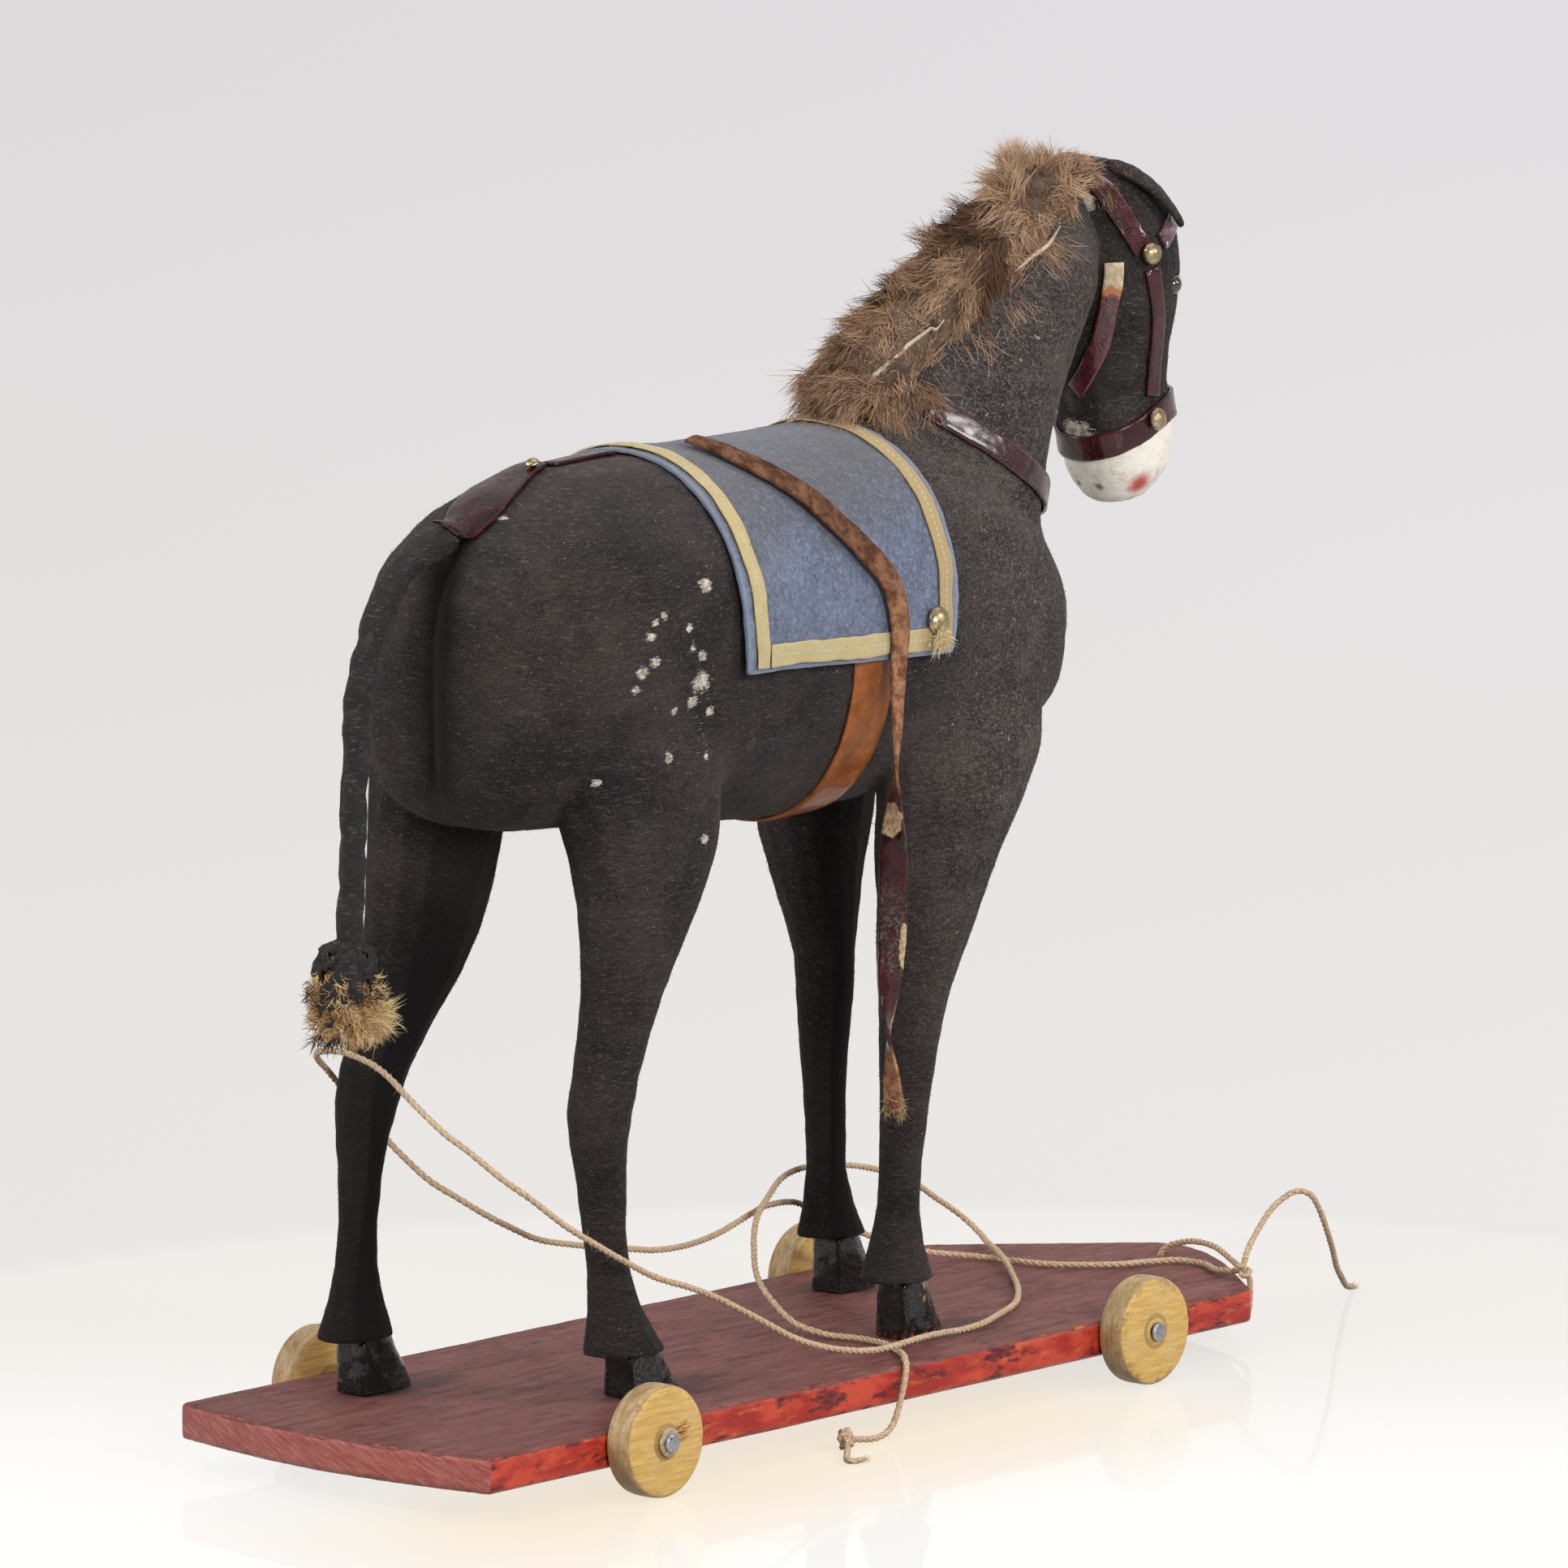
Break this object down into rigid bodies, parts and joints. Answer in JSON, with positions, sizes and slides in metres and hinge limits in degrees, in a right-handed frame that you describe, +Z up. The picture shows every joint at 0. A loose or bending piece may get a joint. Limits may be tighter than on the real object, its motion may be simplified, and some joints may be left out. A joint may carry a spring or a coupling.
{
  "type": "pull toy",
  "caption": "Flock-covered donkey with saddle cloth, bridle and fur mane, trotting on a red plank with wooden wheels and a jute pull cord.",
  "frame": {"origin": "on the floor under the middle of the plank, below the belly", "axes": "+X the way the donkey faces, +Y its left side, +Z up"},
  "size_m": [0.4775, 0.1559, 0.3885],
  "materials": {
    "dark_flock": "worn dark flock over a carved body",
    "brown_fur": "brown rabbit-like fur on hide",
    "red_paint": "worn maroon-red paint",
    "bare_wood": "bare varnished wood",
    "nail_steel": "dull steel",
    "black_enamel": "gloss black paint on wood",
    "maroon_leather": "lacquered, cracked",
    "brown_leather": "worn",
    "tan_leather": "smooth orange-tan",
    "blue_felt": "blue-grey wool felt",
    "gold_ribbon": "pale gold woven ribbon",
    "old_brass": "tarnished domes",
    "dark_glass": "dark glossy glass",
    "jute_twine": "two-ply jute twine",
    "jute_fibre": "frayed jute",
    "black_leather": "matt black"
  },
  "bodies": {
    "toy": {"axle_nail_front_left": "nail_steel", "axle_nail_front_right": "nail_steel", "axle_nail_rear_left": "nail_steel", "axle_nail_rear_right": "nail_steel", "base_board": "red_paint", "brow_band": "maroon_leather", "brow_stud_left": "old_brass", "brow_stud_right": "old_brass", "cheek_strap_left": "maroon_leather", "cheek_strap_right": "maroon_leather", "cloth_ribbon_front": "gold_ribbon", "cloth_ribbon_left": "gold_ribbon", "cloth_ribbon_rear": "gold_ribbon", "cloth_ribbon_right": "gold_ribbon", "cloth_stud_left": "old_brass", "cloth_stud_right": "old_brass", "collar_strap": "maroon_leather", "cord_knot_end": "jute_twine", "cord_knot_front": "jute_twine", "cord_loop": "jute_twine", "cord_loose_end": "jute_twine", "crupper_patch": "maroon_leather", "crupper_strap": "maroon_leather", "crupper_stud": "old_brass", "ear_left": "black_leather", "ear_right": "black_leather", "eye_left": "dark_glass", "eye_right": "dark_glass", "girth_strap": "tan_leather", "head": "dark_flock", "headstall": "brown_leather", "hoof_front_left": "black_enamel", "hoof_front_right": "black_enamel", "hoof_rear_left": "black_enamel", "hoof_rear_right": "black_enamel", "hub_washer_rear_right": "bare_wood", "leg_front_left": "dark_flock", "leg_front_right": "dark_flock", "leg_rear_left": "dark_flock", "leg_rear_right": "dark_flock", "leg_screw_front_left": "nail_steel", "leg_screw_front_right": "nail_steel", "leg_screw_rear_left": "nail_steel", "leg_screw_rear_right": "nail_steel", "loose_strap": "brown_leather", "mane": "brown_fur", "neck": "dark_flock", "nose_stud_left": "old_brass", "nose_stud_right": "old_brass", "noseband": "maroon_leather", "pull_cord": "jute_twine", "saddle_cloth": "blue_felt", "tail": "black_leather", "tail_tuft": "jute_fibre", "throat_strap": "maroon_leather", "torso": "dark_flock"},
    "wheel_front_right": {"wheel_front_right": "bare_wood"},
    "wheel_front_left": {"wheel_front_left": "bare_wood"},
    "wheel_rear_right": {"wheel_rear_right": "bare_wood"},
    "wheel_rear_left": {"wheel_rear_left": "bare_wood"}
  },
  "joints": [
    {"name": "wheel_front_right_spin", "type": "hinge", "parent": "toy", "child": "wheel_front_right", "pos_m": [0.1012, -0.0706, 0.0175], "axis": [0, 1, 0], "continuous": true},
    {"name": "wheel_front_left_spin", "type": "hinge", "parent": "toy", "child": "wheel_front_left", "pos_m": [0.1012, 0.0706, 0.0175], "axis": [0, 1, 0], "continuous": true},
    {"name": "wheel_rear_right_spin", "type": "hinge", "parent": "toy", "child": "wheel_rear_right", "pos_m": [-0.1328, -0.0706, 0.0175], "axis": [0, 1, 0], "continuous": true},
    {"name": "wheel_rear_left_spin", "type": "hinge", "parent": "toy", "child": "wheel_rear_left", "pos_m": [-0.1328, 0.0706, 0.0175], "axis": [0, 1, 0], "continuous": true}
  ]
}
